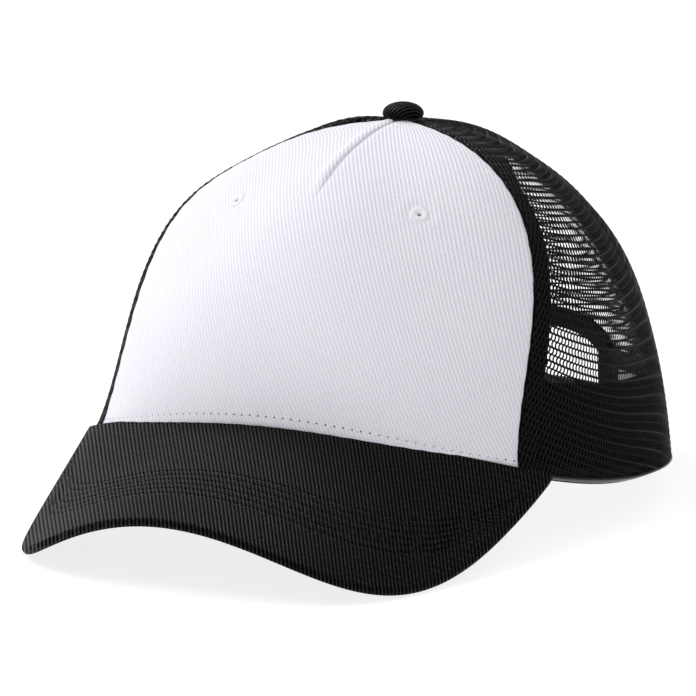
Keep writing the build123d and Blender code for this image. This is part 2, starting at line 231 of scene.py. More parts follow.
def visor_edge(angle):
    corner = crown_at(VISOR_CORNER, 0.0, -VISOR_ROOT_GAP)
    k = np.cos(angle) ** 2
    reach = RIM_RADIUS[0] + VISOR_LENGTH + corner[1]
    x = corner[0] * np.sin(angle) * (1 + VISOR_FLARE[0] * k + VISOR_FLARE[1] * k * k)
    y = corner[1] - reach * k ** (VISOR_FRONT_POWER / 2) - VISOR_SHOULDER * k * (1 - k)
    z = corner[2] + VISOR_DROOP[0] * k + VISOR_DROOP[1] * k ** 2 + VISOR_DROOP[2] * k ** 3
    return np.stack([x, y, z], -1)


def visor(out, angle):
    """Middle surface of the visor: out from root (0) to edge (1), angle from corner to corner."""
    out = np.asarray(out)[..., None]
    return visor_root(angle) * (1 - out) + visor_edge(angle) * out


def rest(points):
    """From the crown's own axis, in millimetres, to the resting frame, in metres."""
    y, z = points[..., 1], points[..., 2]
    tilted = np.stack([points[..., 0], y * math.cos(REST_TILT) + z * math.sin(REST_TILT),
                       z * math.cos(REST_TILT) - y * math.sin(REST_TILT)], -1)
    return (tilted + np.array(REST_SHIFT)) * MM


def turned(directions):
    """Directions from the crown's own axis to the resting frame, with their lengths in metres."""
    return rest(directions) - rest(np.zeros(3))


# ======== mesh helpers ========
def in_scene(name, data):
    obj = bpy.data.objects.new(name, data)
    bpy.context.scene.collection.objects.link(obj)
    return obj


def baked(obj):
    """Turns an object's modifiers into its plain mesh."""
    bpy.context.view_layer.update()
    ready = obj.evaluated_get(bpy.context.evaluated_depsgraph_get())
    mesh = bpy.data.meshes.new_from_object(ready)
    obj.modifiers.clear()
    obj.data = mesh
    return mesh


def new_object(name, points, faces, material, uv=None):
    """Mesh object from vertices in metres and quads, turned outward, with its cloth map."""
    a, b, c, d = (points[faces[:, k]] for k in range(4))
    volume = (np.einsum("ij,ij->i", a, np.cross(b, c)) + np.einsum("ij,ij->i", a, np.cross(c, d))).sum()
    if volume < 0:
        faces = faces[:, ::-1]
    mesh = bpy.data.meshes.new(name)
    mesh.from_pydata(points.tolist(), [], [list(dict.fromkeys(f)) for f in faces.tolist()])
    mesh.polygons.foreach_set("use_smooth", [True] * len(mesh.polygons))
    if uv is not None:
        layer = mesh.uv_layers.new(name="cloth")
        corners = np.zeros(len(mesh.loops), int)
        mesh.loops.foreach_get("vertex_index", corners)
        layer.data.foreach_set("uv", uv[corners].astype(np.float32).ravel())
    mesh.materials.append(material)
    mesh.update()
    return in_scene(name, mesh)


def travelled(points, axis=0):
    """Lengths along a line, or a grid's columns (axis 0) or rows (axis 1), from its first point."""
    steps = np.linalg.norm(np.diff(points, axis=axis), axis=-1).cumsum(axis)
    return np.insert(steps, 0, 0, axis=axis)


def grid_uv(points):
    """Lengths along the cloth, in metres, from the middle column and the first row."""
    across = travelled(points, 1)
    across -= across[:, points.shape[1] // 2][:, None]
    return np.stack([across, travelled(points)], -1)


def shell(name, outer, inner, material, uv=None):
    """Closed sheet between two grids of points, in metres."""
    rows, columns = outer.shape[:2]
    count = rows * columns
    ids = np.arange(count).reshape(rows, columns)
    top = np.stack([ids[:-1, :-1], ids[1:, :-1], ids[1:, 1:], ids[:-1, 1:]], -1).reshape(-1, 4)
    ring = np.concatenate([ids[0, :-1], ids[:-1, -1], ids[-1, :0:-1], ids[:0:-1, 0]])
    after = np.roll(ring, -1)
    rim = np.stack([ring, after, after + count, ring + count], -1)
    faces = np.concatenate([top, top[:, ::-1] + count, rim])
    points = np.concatenate([outer.reshape(-1, 3), inner.reshape(-1, 3)])
    uv = grid_uv(outer) if uv is None else uv
    return new_object(name, points, faces, material, np.tile(uv.reshape(-1, 2), (2, 1)))


def revolved(name, profile, segments, centre, material, pleat):
    """Closed turned form. The profile runs from pole to pole as (radius, height)."""
    profile = np.array(profile, float)
    angle = np.linspace(0, 2 * np.pi, segments, endpoint=False)
    radius, height = profile[1:-1, 0][:, None], profile[1:-1, 1][:, None]
    radius = radius * (1 + pleat(angle[None], height))
    body = np.stack([radius * np.cos(angle), radius * np.sin(angle), height + 0 * angle], -1)
    rings = len(body)
    points = np.concatenate([body.reshape(-1, 3), [[0, 0, profile[0, 1]], [0, 0, profile[-1, 1]]]])
    ids = np.arange(rings * segments).reshape(rings, segments)
    after = np.roll(ids, -1, axis=1)
    walls = np.stack([ids[:-1], after[:-1], after[1:], ids[1:]], -1).reshape(-1, 4)
    first, last = rings * segments, rings * segments + 1
    caps = [[first, after[0, k], ids[0, k], first] for k in range(segments)]
    caps += [[last, ids[-1, k], after[-1, k], last] for k in range(segments)]
    faces = np.concatenate([walls, np.array(caps)])
    steps = np.hypot(*np.diff(profile, axis=0).T)
    travel = np.cumsum(steps)[: rings][:, None]
    flat = np.stack([travel * np.cos(angle), travel * np.sin(angle)], -1).reshape(-1, 2) * MM
    uv = np.concatenate([flat, np.zeros((2, 2))])
    placed = rest(points + np.array(centre))
    return new_object(name, placed, faces, material, uv)


def panel_grid(left, right, v, w, depth):
    """Grid of points between two seams; depth may vary over the grid."""
    v, w = v[:, None], w[None, :]
    u = left(v) + (right(v) - left(v)) * w
    return crown_at(u, ring_t(u, v), depth)


def seam_edge(seam, side, sign=1):
    """The edge of a panel beside a seam, as an angle for each climb."""
    def angle(v):
        middle = seam_angle(seam, v)
        return sign * middle + side * SEAM_GAP / 2 / radius_at(middle, ring_t(middle, v))
    return angle


def bump_at(x, centre, width):
    return np.exp(-(((x - centre) / width) ** 2))


def eased(x):
    x = np.clip(x, 0, 1)
    return x * x * (3 - 2 * x)


# ======== materials ========
def linear(code):
    """Linear colour from an sRGB hex value."""
    parts = [int(code[k:k + 2], 16) / 255 for k in (1, 3, 5)]
    return [c / 12.92 if c <= 0.04045 else ((c + 0.055) / 1.055) ** 2.4 for c in parts] + [1.0]


def add(tree, kind, settings=None, inputs=None):
    """One node with its settings; an input is a value or the socket that feeds it."""
    node = tree.nodes.new(kind)
    for name, value in (settings or {}).items():
        setattr(node, name, value)
    for name, value in (inputs or {}).items():
        socket = node.inputs[name]
        if isinstance(value, bpy.types.NodeSocket):
            tree.links.new(value, socket)
        else:
            socket.default_value = value
    return node


def calc(tree, operation, a, b=0.0):
    return add(tree, "ShaderNodeMath", {"operation": operation}, {0: a, 1: b}).outputs[0]


def noise(tree, place, scale, detail):
    values = {"Vector": place, "Scale": scale, "Detail": detail}
    return add(tree, "ShaderNodeTexNoise", None, values).outputs["Fac"]


def wave(tree, phase):
    """A sine between 0 and 1."""
    sine = calc(tree, "SINE", phase)
    return add(tree, "ShaderNodeMath", {"operation": "MULTIPLY_ADD"}, {0: sine, 1: 0.5, 2: 0.5}).outputs[0]


def blend_of(tree, first, share, second, other):
    """Two values added by their shares."""
    return calc(tree, "ADD", calc(tree, "MULTIPLY", first, share),
                     calc(tree, "MULTIPLY", second, other))


def between(tree, factor, low, high):
    """A colour between a colour, or an sRGB hex value, and an sRGB hex value."""
    values = {"Factor": factor, 6: linear(low) if isinstance(low, str) else low, 7: linear(high)}
    return add(tree, "ShaderNodeMix", {"data_type": "RGBA"}, values).outputs[2]


def coloured(tree, shader, colour, height, strength, distance):
    """Feeds the shader its colour and a bump made from a height."""
    bump = add(tree, "ShaderNodeBump", None, {"Strength": strength, "Distance": distance, "Height": height})
    tree.links.new(colour, shader.inputs["Base Color"])
    tree.links.new(bump.outputs[0], shader.inputs["Normal"])


def finished(name, **values):
    """A material with its Principled shader set; returns the material, its tree and the shader."""
    material = bpy.data.materials.new(name)
    material.use_nodes = True
    tree = material.node_tree
    shader = tree.nodes["Principled BSDF"]
    for key, value in values.items():
        shader.inputs[key.replace("_", " ")].default_value = value
    return material, tree, shader


def woven_twill(name, high, low, rib, lean, roughness, sheen, relief, gloss=0.25, pits=None):
    """Twill weave: raised diagonal ribs with short floats along them, coloured lighter on the rib tops as
    painted highlight and darker in the valleys as painted shade. rib is the rib spacing, and pits is (height
    of a needle row, stitch pitch), all in metres."""
    material, tree, shader = finished(name, Roughness=roughness, Sheen_Weight=sheen, Sheen_Roughness=0.5)
    cloth = add(tree, "ShaderNodeUVMap", {"uv_map": "cloth"}).outputs[0]
    wander = noise(tree, cloth, 260.0, 2.0)
    turn = 2 * math.pi / rib
    across, along = (
        add(tree, "ShaderNodeVectorMath", {"operation": "DOT_PRODUCT"}, {0: cloth, 1: way}).outputs["Value"]
        for way in ((turn * math.sin(lean), turn * math.cos(lean), 0),
                    (0.6 * turn * math.cos(lean), -0.6 * turn * math.sin(lean), 0)))
    shaken = calc(tree, "ADD", across, calc(tree, "MULTIPLY", wander, 1.1))
    ribs = calc(tree, "POWER", wave(tree, shaken), 1.4)
    floats = wave(tree, calc(tree, "ADD", along, shaken))
    height = blend_of(tree, ribs, 0.75, floats, 0.25)
    flecks = noise(tree, cloth, 1400.0, 1.0)
    height = calc(tree, "MULTIPLY", height, calc(tree, "ADD", flecks, 0.5))
    patchy = noise(tree, cloth, 35.0, 4.0)
    # Painted highlight on the rib tops and painted shade in the valleys, taken from the rib height, with a
    # random patchy tone.
    colour = between(tree, blend_of(tree, height, 0.8, patchy, 0.25), low, high)
    if pits:
        row, pitch = pits
        split = add(tree, "ShaderNodeSeparateXYZ", None, {0: cloth})
        line = calc(tree, "ABSOLUTE", calc(tree, "SUBTRACT", split.outputs[1], row))
        beat = calc(tree, "PINGPONG", split.outputs[0], pitch / 2)
        distance = calc(tree, "MAXIMUM", calc(tree, "MULTIPLY", line, 1.2), beat)
        hole = calc(tree, "LESS_THAN", distance, 0.00032)
        # Painted shade: a grey-lavender dot darkens each needle hole, standing for the shade inside it.
        colour = between(tree, hole, colour, "#5a5a66")
        height = calc(tree, "SUBTRACT", height, calc(tree, "MULTIPLY", hole, 1.5))
    shine = calc(tree, "MULTIPLY", calc(tree, "POWER", height, 2.0), 2 * gloss)
    tree.links.new(shine, shader.inputs["Specular IOR Level"])
    coloured(tree, shader, colour, height, relief, 0.0004)
    return material


def spun_yarn(name, high, low, grain, roughness, sheen=0.2, gloss=0.2):
    """Plied polyester yarn: fine glints along a soft matt strand."""
    material, tree, shader = finished(name, Roughness=roughness, Sheen_Weight=sheen, Sheen_Roughness=0.4,
                                      Specular_IOR_Level=gloss)
    place = add(tree, "ShaderNodeTexCoord").outputs["Object"]
    twist = noise(tree, place, 1 / grain, 3.0)
    coloured(tree, shader, between(tree, twist, low, high), twist, 0.4, 0.0001)
    return material


def moulded_plastic(name, high, low, roughness):
    """Injection moulded polyethylene: waxy, faintly mottled satin skin."""
    material, tree, shader = finished(name, Roughness=roughness, IOR=1.51)
    place = add(tree, "ShaderNodeTexCoord").outputs["Object"]
    mottle, grain = noise(tree, place, 90.0, 3.0), noise(tree, place, 2500.0, 2.0)
    coloured(tree, shader, between(tree, mottle, low, high), grain, 0.15, 0.0001)
    return material


def plated_steel(name):
    """Pressed and nickel-plated steel: bright, with faint rolling lines."""
    material, tree, shader = finished(name, Metallic=1.0, Roughness=0.32, Base_Color=linear("#c9c6c0"))
    place = add(tree, "ShaderNodeTexCoord").outputs["Object"]
    scale = (300.0, 6000.0, 300.0)
    stretched = add(tree, "ShaderNodeMapping", None, {"Vector": place, "Scale": scale}).outputs[0]
    lines = noise(tree, stretched, 1.0, 2.0)
    rough = add(tree, "ShaderNodeMapRange", None, {"Value": lines, "To Min": 0.22, "To Max": 0.45}).outputs[0]
    tree.links.new(rough, shader.inputs["Roughness"])
    return material


# Bright, with a fine slanted rib, painted shade greying its valleys, and painted shade darkening a row of
# needle holes.
white_twill = woven_twill("white_cotton_twill_woven", "#f3f3f7", "#d6d6e2", rib=0.0013, lean=PANEL_LEAN,
                          roughness=0.85, sheen=0.12, relief=0.58, pits=(HEM_ROW * MM, STITCH_PITCH * MM))
# Deep black, with a dull glint on each rib where light grazes it.
black_twill = woven_twill("black_cotton_twill_woven", "#0a0909", "#000000", rib=0.00127, lean=VISOR_LEAN,
                          roughness=0.5, sheen=0.01, relief=1.0, gloss=0.15)
# Brushed and matt.
band_twill = woven_twill("black_sweatband_cotton_brushed", "#0e0d0d", "#040404", rib=0.0009, lean=-PANEL_LEAN,
                         roughness=0.9, sheen=0.1, relief=0.4, gloss=0.08)
# A close narrow weave.
tape_twill = woven_twill("black_tape_herringbone_woven", "#0e0d0d", "#040404", rib=0.0008, lean=0.7,
                         roughness=0.85, sheen=0.1, relief=0.5, gloss=0.12)
# Coarse and greyish.
buckram = woven_twill("buckram_open_weave_stiffened", "#d8d6d0", "#a9a7a1", rib=0.0016, lean=math.radians(90),
                      roughness=0.9, sheen=0.0, relief=0.7)
# Smooth and off-white.
satin = woven_twill("label_polyester_satin_woven", "#dcdbd8", "#c4c3bf", rib=0.0005, lean=0.3,
                    roughness=0.45, sheen=0.1, relief=0.2)
# Near black, with small glints on its loops.
net_yarn = spun_yarn("black_polyester_net_yarn_knitted", "#090808", "#010101", 0.0006, 0.3, sheen=0.0)
# A little lighter than the cloth they sew.
black_thread = spun_yarn("black_polyester_thread_spun", "#1a1818", "#070606", 0.0004, 0.5)
white_thread = spun_yarn("white_polyester_thread_spun", "#f6f6f9", "#dadae4", 0.0004, 0.6)
# Waxy grey-black straps, and a darker board.
snap_plastic = moulded_plastic("black_polyethylene_moulded", "#1c1c1d", "#121213", 0.42)
board_plastic = moulded_plastic("black_polyethylene_sheet", "#141414", "#0c0c0c", 0.5)
steel = plated_steel("nickel_plated_steel_pressed")


# ======== geometry node trees ========
def new_tree(name, sockets):
    """A tree with a mesh in, named inputs with their values, and a mesh out."""
    tree = bpy.data.node_groups.new(name, "GeometryNodeTree")
    tree.is_modifier = True
    tree.interface.new_socket("Geometry", in_out="INPUT", socket_type="NodeSocketGeometry")
    for label, value in sockets.items():
        kind = "NodeSocketMaterial" if value is None else "NodeSocketFloat"
        socket = tree.interface.new_socket(label, in_out="INPUT", socket_type=kind)
        if value is not None:
            socket.default_value = value
    tree.interface.new_socket("Geometry", in_out="OUTPUT", socket_type="NodeSocketGeometry")
    return tree, tree.nodes.new("NodeGroupInput").outputs


def strand(tree, curve, radius, sides):
    """A closed round tube along a curve."""
    circle = {"Resolution": sides, "Radius": radius}
    profile = add(tree, "GeometryNodeCurvePrimitiveCircle", None, circle).outputs[0]
    return add(tree, "GeometryNodeCurveToMesh", None,
               {"Curve": curve, "Profile Curve": profile, "Fill Caps": True}).outputs[0]


def point(tree, x=0.0, y=0.0, z=0.0):
    return add(tree, "ShaderNodeCombineXYZ", None, {0: x, 1: y, 2: z}).outputs[0]


def set_out(tree, source, shapes, pick, material):
    """Shapes set on the source's points by their turn, size and kind, made one smooth mesh."""
    def carried(name, kind):
        node = add(tree, "GeometryNodeInputNamedAttribute", {"data_type": kind}, {"Name": name})
        return next(socket for socket in node.outputs if socket.enabled)

    placed = add(tree, "GeometryNodeInstanceOnPoints", None, {
        "Points": source, "Instance": shapes, "Pick Instance": pick, "Instance Index": carried("kind", "INT"),
        "Rotation": carried("turn", "QUATERNION"), "Scale": carried("size", "FLOAT_VECTOR")}).outputs[0]
    real = add(tree, "GeometryNodeRealizeInstances", None, {"Geometry": placed}).outputs[0]
    smooth = add(tree, "GeometryNodeSetShadeSmooth", None, {0: real}).outputs[0]
    dyed = add(tree, "GeometryNodeSetMaterial", None, {"Geometry": smooth, "Material": material}).outputs[0]
    add(tree, "NodeGroupOutput", None, {0: dyed})


def net_tree():
    """Knitted net: uprights that bow one way, then back in the next course, and loop over each."""
    tree, given = new_tree("knitted_net", {"Cell Width": NET_CELL * MM, "Course Height": NET_ROW * MM,
                                           "Yarn Radius": NET_YARN * MM, "Bow": 0.45 * MM, "Material": None})
    width, height, radius, bow, material = (given[k] for k in
                                            ("Cell Width", "Course Height", "Yarn Radius", "Bow", "Material"))
    low, high = (calc(tree, "MULTIPLY", height, k) for k in (-0.52, 0.52))
    left, right = (calc(tree, "MULTIPLY", width, k) for k in (-0.56, 0.56))
    loop, bed = (calc(tree, "MULTIPLY", radius, k) for k in (1.1, -0.5))
    shapes = []
    for lean, girth in ((1.0, 1.1), (-1.0, 1.4)):
        upright = add(tree, "GeometryNodeCurveQuadraticBezier", None, {
            "Resolution": 4, "Start": point(tree, y=low, z=loop), "End": point(tree, y=high, z=loop),
            "Middle": point(tree, x=calc(tree, "MULTIPLY", bow, 2 * lean), z=bed)}).outputs[0]
        course = add(tree, "GeometryNodeCurvePrimitiveLine", None,
                     {"Start": point(tree, left, low), "End": point(tree, right, low)}).outputs[0]
        both = add(tree, "GeometryNodeJoinGeometry")
        tree.links.new(strand(tree, upright, radius, 4), both.inputs[0])
        thick = calc(tree, "MULTIPLY", radius, girth)
        tree.links.new(strand(tree, course, thick, 4), both.inputs[0])
        shapes.append(add(tree, "GeometryNodeGeometryToInstance", None, {0: both.outputs[0]}).outputs[0])
    pair = add(tree, "GeometryNodeJoinGeometry")
    for shape in shapes:
        tree.links.new(shape, pair.inputs[0])
    set_out(tree, given["Geometry"], pair.outputs[0], True, material)
    return tree


def stitch_tree():
    """Lockstitch: short arched threads that dip into the cloth at both ends."""
    tree, given = new_tree("lockstitch_row", {
        "Stitch Length": STITCH_LENGTH * MM, "Thread Radius": THREAD_RADIUS * MM,
        "Rise": 0.25 * MM, "Dip": 0.3 * MM, "Material": None})
    half = calc(tree, "MULTIPLY", given["Stitch Length"], 0.5)
    sunk = calc(tree, "MULTIPLY", given["Dip"], -1.0)
    start, end = point(tree, calc(tree, "MULTIPLY", half, -1.0), 0.0, sunk), point(tree, half, 0.0, sunk)
    arch = add(tree, "GeometryNodeCurveQuadraticBezier", None, {
        "Resolution": 5, "Start": start, "End": end,
        "Middle": point(tree, z=calc(tree, "MULTIPLY", given["Rise"], 2.0))}).outputs[0]
    set_out(tree, given["Geometry"], strand(tree, arch, given["Thread Radius"], 6), False, given["Material"])
    return tree


NET_TREE, STITCH_TREE = net_tree(), stitch_tree()


def set_on_points(name, tree, centres, x_axis, z_axis, material, size=None, kind=None, **values):
    """Runs a tree over points that carry a turn, a size and a kind, and keeps the plain mesh."""
    mesh = bpy.data.meshes.new(name)
    mesh.from_pydata(centres.tolist(), [], [])
    z_axis = unit(z_axis)
    y_axis = unit(np.cross(z_axis, x_axis))
    x_axis = np.cross(y_axis, z_axis)
    axes = zip(x_axis, y_axis, z_axis)
    turns = [list(Matrix(np.stack(three, 1).tolist()).to_quaternion()) for three in axes]
    size = np.ones((len(centres), 3)) if size is None else size
    kind = np.zeros(len(centres), int) if kind is None else kind
    for label, form, key, data in (("turn", "QUATERNION", "value", np.array(turns, np.float32)),
                                   ("size", "FLOAT_VECTOR", "vector", size.astype(np.float32)),
                                   ("kind", "INT", "value", kind.astype(np.int32))):
        mesh.attributes.new(label, form, "POINT").data.foreach_set(key, np.ascontiguousarray(data).ravel())
    obj = in_scene(name, mesh)
    modifier = obj.modifiers.new("set", "NODES")
    modifier.node_group = tree
    values["Material"] = material
    for item in tree.interface.items_tree:
        if item.item_type == "SOCKET" and item.in_out == "INPUT" and item.name.replace(" ", "_") in values:
            modifier[item.identifier] = values[item.name.replace(" ", "_")]
    obj.update_tag()
    result = baked(obj)
    result.name = name
    if not result.materials:
        result.materials.append(material)
    return obj


def stitches(name, paths, material, pitch=STITCH_PITCH, **values):
    """Stitches along paths; a path is (points, normals) in metres."""
    centres, tangents, normals = [], [], []
    for points, outward in paths:
        travel = travelled(points)
        count = max(2, int(travel[-1] / (pitch * MM)))
        where = (np.arange(count) + 0.5) * travel[-1] / count
        for target, source in ((centres, points), (normals, outward)):
            target.append(np.stack([np.interp(where, travel, source[:, k]) for k in range(3)], 1))
        for_axis = [(where + 0.0005, where - 0.0005, points[:, k]) for k in range(3)]
        tangents.append(np.stack([np.interp(ahead, travel, line) - np.interp(behind, travel, line)
                                  for ahead, behind, line in for_axis], 1))
    return set_on_points(name, STITCH_TREE, np.concatenate(centres), unit(np.concatenate(tangents)),
                         np.concatenate(normals), material, **values)


def path_on(surface, a, b, depth, inside=False):
    """A stitch path at a depth in the crown, facing out of the cap or into it."""
    points, deeper = rest(surface(a, b, depth)), rest(surface(a, b, depth + 1))
    normals = unit(points - deeper)
    return points, -normals if inside else normals


def keep(piece, slot, *nodes):
    """Rides on the cap and stands for CAD nodes; slot is not used."""
    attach(piece, "cap")
    if nodes:
        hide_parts(*nodes)


def sewn(name, rows, slot, *nodes, dip, rise=0.25, radius=THREAD_RADIUS, length=STITCH_LENGTH,
         pitch=STITCH_PITCH):
    """Rows of stitches as one piece; sizes in millimetres."""
    thread = black_thread if slot == "black_thread" else white_thread
    piece = stitches(name, rows, thread, pitch, Dip=dip * MM, Rise=rise * MM, Thread_Radius=radius * MM,
                     Stitch_Length=length * MM)
    keep(piece, slot, *nodes)


def cloth_facts(points):
    """Flat width, length and area of a sheet from a grid of points in metres."""
    width, length = travelled(points, 1)[:, -1].max(), travelled(points)[-1].max()
    one = np.cross(points[1:, :-1] - points[:-1, :-1], points[:-1, 1:] - points[:-1, :-1])
    two = np.cross(points[1:, :-1] - points[1:, 1:], points[:-1, 1:] - points[1:, 1:])
    area = (np.linalg.norm(one, axis=2).sum() + np.linalg.norm(two, axis=2).sum()) / 2
    return (float(width), float(length)), float(min(area, width * length))


def declare(points):
    flat, area = cloth_facts(points)


# ======== pieces ========
def panel_relief(flat, climb):
    """How far the front panel stands out of the crown: dart, turned edges, sewn rows and air holes."""
    across, up = travelled(flat, 1), travelled(flat)
    from_edge = np.minimum(across, across[:, -1:] - across)
    middle = across - across[:, -1:] / 2
    dart = eased((climb - 0.46) / 0.13)
    shape = -1.0 * dart * bump_at(middle, 0, 0.4)
    shape = shape + dart * (0.75 * bump_at(middle, -2.3, 1.8) + 0.2 * bump_at(middle, 2.6, 2.4))
    shape = shape - 0.55 * np.exp(-from_edge / 0.7) - 0.5 * np.exp(-up / 0.7)
    pull = 0.55 + 0.45 * np.cos(2 * np.pi * middle / STITCH_PITCH)
    shape = shape - 0.12 * bump_at(up, HEM_ROW, 0.5) * pull - 0.10 * bump_at(from_edge, EDGE_ROW, 0.5)
    shape = shape + 0.10 * np.sin(across * 0.9 + 1.5 * np.sin(across * 0.13)) * np.exp(-up / 5)
    shape = shape + 0.10 * np.sin(up * 0.8) * np.exp(-from_edge / 4)
    for side in (1, -1):
        reach = np.linalg.norm(flat - crown_at(side * EYELET_ANGLE, EYELET_UP), axis=2)
        shape = shape - 0.45 * bump_at(reach, 0, 4.2) + 0.15 * bump_at(reach, 6.5, 2.0)
    return shape


def front_panel():
    """One piece of stiffened twill with a short dart down from the button."""
    w = np.concatenate([np.linspace(0, 0.47, 98), np.linspace(0.472, 0.528, 26), np.linspace(0.53, 1, 98)])
    v = np.concatenate([np.linspace(0, 0.05, 16), np.linspace(0.055, 1, 186)])
    left, right = seam_edge(FRONT_SEAM, 1, -1), seam_edge(FRONT_SEAM, -1)
    flat = panel_grid(left, right, v, w, 0.0)
    shape = panel_relief(flat, v[:, None])
    outer = panel_grid(left, right, v, w, -shape)
    inner = panel_grid(left, right, v, w, np.maximum(0.55 - shape, 0.55))
    piece = shell("front_panel_cloth", rest(outer), rest(inner), white_twill, grid_uv(rest(flat)))
    pierce(piece)
    keep(piece, "white_twill", "front_panel")
    declare(rest(flat))


def pierce(piece):
    """Bores the two air holes through a front layer."""
    for side in (1, -1):
        centre, below = (rest(crown_at(side * EYELET_ANGLE, EYELET_UP, depth)) for depth in (1.0, 2.0))
        bpy.ops.mesh.primitive_cylinder_add(vertices=20, radius=0.75 * MM, depth=9 * MM, location=centre)
        drill = bpy.context.object
        drill.rotation_euler = Vector(below - centre).to_track_quat("Z", "Y").to_euler()
        cut = piece.modifiers.new("air_hole", "BOOLEAN")
        cut.operation, cut.object, cut.solver = "DIFFERENCE", drill, "EXACT"
        baked(piece)
        bpy.data.objects.remove(drill)


def backing():
    v, w = np.linspace(0, 1, 60), np.linspace(0, 1, 70)
    edges = seam_edge(FRONT_SEAM, 1, -1), seam_edge(FRONT_SEAM, -1)
    ripple = 0.08 * np.sin(w[None] * 40) * np.sin(v[:, None] * 30)
    outer = rest(panel_grid(*edges, v, w, 1.15 + ripple))
    inner = rest(panel_grid(*edges, v, w, 1.75 + ripple))
    piece = shell("front_panel_buckram", outer, inner, buckram)
    pierce(piece)
    keep(piece, "buckram", "front_panel_backing")
    declare(outer)


def under_arch(spots):
    """Which points of the crown lie in the rear arch, with a margin for its binding."""
    x, z = arch_point(np.linspace(-0.765, 0.765, 200), 1.6)
    edge = np.interp(spots[:, 0], x, z, left=-99, right=-99)
    return (spots[:, 2] + NAPE_DROP < edge) & (spots[:, 1] > 0)


def net(part, side, word, front, rear, slant):
    """Open net panel between two seams. The courses slant by an angle, in the cloth's own flat lengths."""
    near, far, slant = seam_edge(front, side, side), seam_edge(rear, -side, side), side * slant
    v = np.linspace(0, 1, 400)
    middle = (near(v) + far(v)) / 2
    spine = crown(middle, ring_t(middle, v))
    climb = travelled(spine)

    def place(x, y):
        across = x * math.cos(slant) + y * math.sin(slant)
        up = y * math.cos(slant) - x * math.sin(slant)
        vv = np.interp(up, climb, v)
        centre = np.interp(up, climb, middle)
        u = centre + across / np.maximum(radius_at(centre, ring_t(centre, vv)), 2.0)
        return u, vv, up

    reach = int(110 / NET_CELL)
    top = int(climb[-1] * 1.3 / NET_ROW)
    i, j = np.meshgrid(np.arange(-reach, reach + 1), np.arange(-20, top))
    x, y, j = (i * NET_CELL).ravel(), ((j + 0.5) * NET_ROW).ravel(), j.ravel()
    u, vv, up = place(x, y)
    low, high = np.minimum(near(vv), far(vv)), np.maximum(near(vv), far(vv))
    margin = 0.5 / np.maximum(radius_at(u, ring_t(u, vv)), 2.0)
    inside = (u > low + margin) & (u < high - margin) & (up > 1.0 - NET_ROW / 2) & (up < climb[-1] - 1.0)
    if part == "back":
        inside &= ~under_arch(crown(u, ring_t(u, vv)))
    x, y, j, up = x[inside], y[inside], j[inside], up[inside]
    short = np.clip((up + NET_ROW / 2 - NET_HEM) / NET_ROW, 0, 1)
    y = y + NET_ROW / 2 * (1 - short)

    def spot_at(dx, dy):
        u, vv, _ = place(x + dx, y + dy)
        return crown_at(u, ring_t(u, vv), NET_DEPTH)

    step = 0.2
    along = (spot_at(step, 0) - spot_at(-step, 0)) / (2 * step)
    upward = (spot_at(0, step) - spot_at(0, -step)) / (2 * step)
    size = np.stack([np.linalg.norm(along, axis=1), np.linalg.norm(upward, axis=1) * short,
                     np.full(len(x), NET_FLATNESS)], 1)
    size = np.clip(size, 0.12, 1.5)
    along, upward = turned(along), turned(upward)
    piece = set_on_points(f"{part}_net_{word}", NET_TREE, rest(spot_at(0, 0)), unit(along),
                          np.cross(along, upward), net_yarn, size=size, kind=j % 2)
    keep(piece, "black_mesh", f"{part}_mesh_{word}")
    declare(rest(panel_grid(near, far, np.linspace(0, 1, 60), np.linspace(0, 1, 40), NET_DEPTH)))


def seam_tape(name, node, seam, sign, stop_low=0.0):
    """Tape over a seam, inside the cap, with a stitch row near each edge."""
    v, w = np.linspace(stop_low, 1, 90), np.linspace(0, 1, 15)
    middle = seam_angle(seam, v)[:, None]
    radius = radius_at(middle, ring_t(middle, v[:, None]))
    half = TAPE_WIDTH / 2 / np.hypot(radius, TAPE_WIDTH / 2 / TAPE_MAX_HALF_ANGLE)
    u = sign * middle + half * (2 * w[None] - 1)
    t = ring_t(u, v[:, None])
    lip = 0.18 * np.abs(2 * w[None] - 1) ** 6
    swell = 0.12 * np.sin(np.arange(90) * 1.7)[:, None] * np.abs(2 * w[None] - 1)
    outer, inner = crown_at(u, t, 2.1 + lip * 0.4 + swell * 0.3), crown_at(u, t, 2.6 - lip + swell * 0.3)
    piece = shell(name, rest(outer), rest(inner), tape_twill)
    keep(piece, "seam_tape", node)
    declare(rest(outer))
    rows = []
    for k in (-0.72, 0.72):
        line = sign * middle[:, 0] + half[:, 0] * k
        rows.append(path_on(crown_at, line, ring_t(line, v), 2.62, inside=True))
    sewn(name + "_thread", rows, "black_thread", dip=0.12, rise=0.12)


def sweatband():
    """A band folded from brushed cotton, soft at its edges and a little rippled."""
    u = np.linspace(-BAND_END, BAND_END, 420)[None, :]
    edges = np.linspace(0.3, 3, 10), np.linspace(3.6, 27.5, 26), np.linspace(28.1, SWEATBAND_HEIGHT, 9)
    h = np.concatenate(edges)[:, None]
    rounding = 0.75 * (np.exp(-(h - 0.3) / 0.5) + np.exp(-(SWEATBAND_HEIGHT - h) / 0.5))
    ripple = 0.12 * np.sin(u * 46 + 2 * np.sin(u * 7)) * eased((h - 6) / 10) * eased((32 - h) / 9)
    quilt = 0.18 * bump_at(h, 4.5, 0.7) + ripple
    t = t_at_height(u, h)
    outer = rest(crown_at(u, t, 3.5 + rounding + 0 * u))
    inner = rest(crown_at(u, t, 5.2 - rounding - quilt))
    piece = shell("sweatband_cotton", outer, inner, band_twill)
    keep(piece, "sweatband_cotton", "sweatband")
    declare(inner)
    line = np.linspace(-BAND_END + 0.02, BAND_END - 0.02, 500)
    rows = [path_on(crown_at, line, t_at_height(line, height), 5.12, inside=True) for height in (4.5, 28.0)]
    sewn("sweatband_thread", rows, "black_thread", dip=0.2, rise=0.15)


